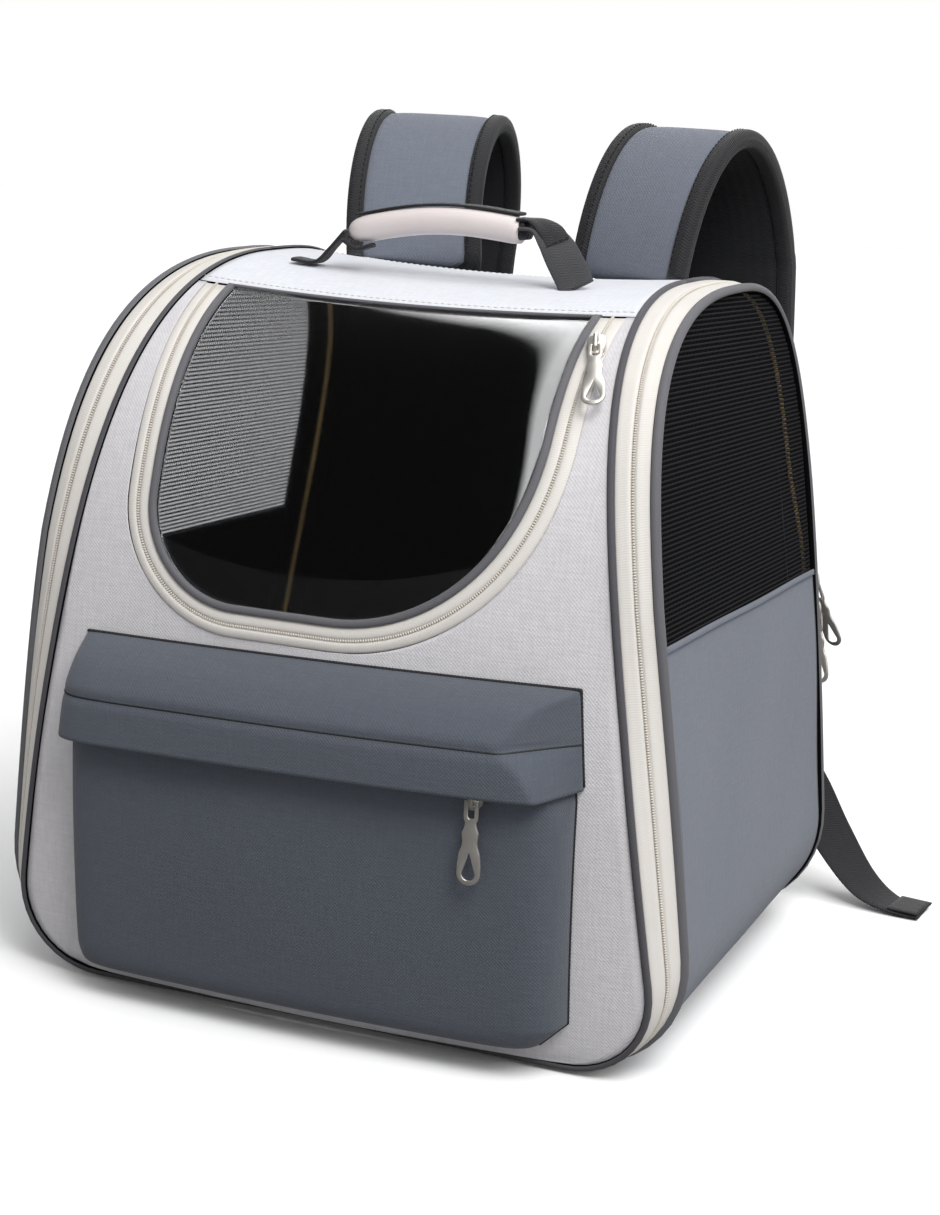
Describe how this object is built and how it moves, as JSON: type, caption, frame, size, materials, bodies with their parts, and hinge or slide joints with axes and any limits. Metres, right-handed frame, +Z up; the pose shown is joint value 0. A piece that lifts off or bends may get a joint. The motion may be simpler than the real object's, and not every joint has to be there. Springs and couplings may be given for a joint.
{
  "type": "pet carrier backpack",
  "caption": "Soft pet carrier backpack with a zipped clear window, net sides, a flapped front pocket, a padded carrying handle and padded shoulder straps.",
  "frame": {"origin": "middle of the base, on the floor", "axes": "+Z up, -Y out of the front with the window and pocket, +X to the viewer's right when facing the front"},
  "size_m": [0.4416, 0.3823, 0.4088],
  "materials": {
    "panel_light": "woven light grey polyester",
    "panel_white": "woven white polyester",
    "panel_slate": "woven slate-grey polyester",
    "pocket_slate": "woven dark slate polyester",
    "zip_tape": "cream zip tape with a nylon coil",
    "piping": "grey piped edge",
    "net": "black open mesh",
    "film": "clear glossy PVC film",
    "webbing_black": "black woven webbing",
    "webbing_grey": "dark grey woven webbing",
    "grip": "padded white leatherette",
    "buckle": "black moulded plastic",
    "zip_metal": "nickel-plated zinc"
  },
  "bodies": {
    "bag": {"front_panel": "panel_light", "window_zip": "zip_tape", "zip_band_left": "zip_tape", "zip_band_right": "zip_tape", "window_binding": "piping", "panel_piping_front": "piping", "panel_piping_back": "piping", "side_piping_left": "piping", "side_piping_right": "piping", "window_film": "film", "top_strip": "panel_white", "back_panel": "panel_slate", "side_cloth_left": "panel_slate", "side_cloth_right": "panel_slate", "base_panel": "panel_slate", "shoulder_strap_left": "panel_slate", "shoulder_strap_right": "panel_slate", "side_net_left": "net", "side_net_right": "net", "pocket_body": "pocket_slate", "pocket_flap": "pocket_slate", "handle_grip": "grip", "handle_webbing_left": "webbing_black", "strap_binding_left_inner": "webbing_black", "strap_binding_left_outer": "webbing_black", "strap_binding_right_inner": "webbing_black", "strap_binding_right_outer": "webbing_black", "handle_webbing_right": "webbing_grey", "lower_webbing_left": "webbing_black", "strap_tail_left": "webbing_black", "strap_adjuster_left": "buckle", "lower_webbing_right": "webbing_black", "strap_tail_right": "webbing_black", "strap_adjuster_right": "buckle", "window_slider": "zip_metal", "pocket_slider": "zip_metal", "band_upper_slider": "zip_metal", "band_lower_slider": "zip_metal", "band_left_slider": "zip_metal"},
    "window_pull": {"window_pull": "zip_metal"},
    "pocket_pull": {"pocket_pull": "zip_metal"},
    "band_upper_pull": {"band_upper_pull": "zip_metal"},
    "band_lower_pull": {"band_lower_pull": "zip_metal"}
  },
  "joints": [
    {"name": "window_pull_swing", "type": "hinge", "parent": "bag", "child": "window_pull", "pos_m": [0.09974, -0.0944, 0.31818], "axis": [-0.9658, -0.2191, -0.1385], "range_deg": [0, 150]},
    {"name": "pocket_pull_swing", "type": "hinge", "parent": "bag", "child": "pocket_pull", "pos_m": [0.08426, -0.17475, 0.13121], "axis": [-0.9987, -0.05, 0.0001], "range_deg": [0, 85]},
    {"name": "band_upper_pull_swing", "type": "hinge", "parent": "bag", "child": "band_upper_pull", "pos_m": [0.15028, 0.14378, 0.17559], "axis": [0.8933, -0.4239, 0.1493], "range_deg": [0, 98]},
    {"name": "band_lower_pull_swing", "type": "hinge", "parent": "bag", "child": "band_lower_pull", "pos_m": [0.1526, 0.14313, 0.16055], "axis": [0.8896, -0.4325, 0.147], "range_deg": [0, 25]}
  ]
}
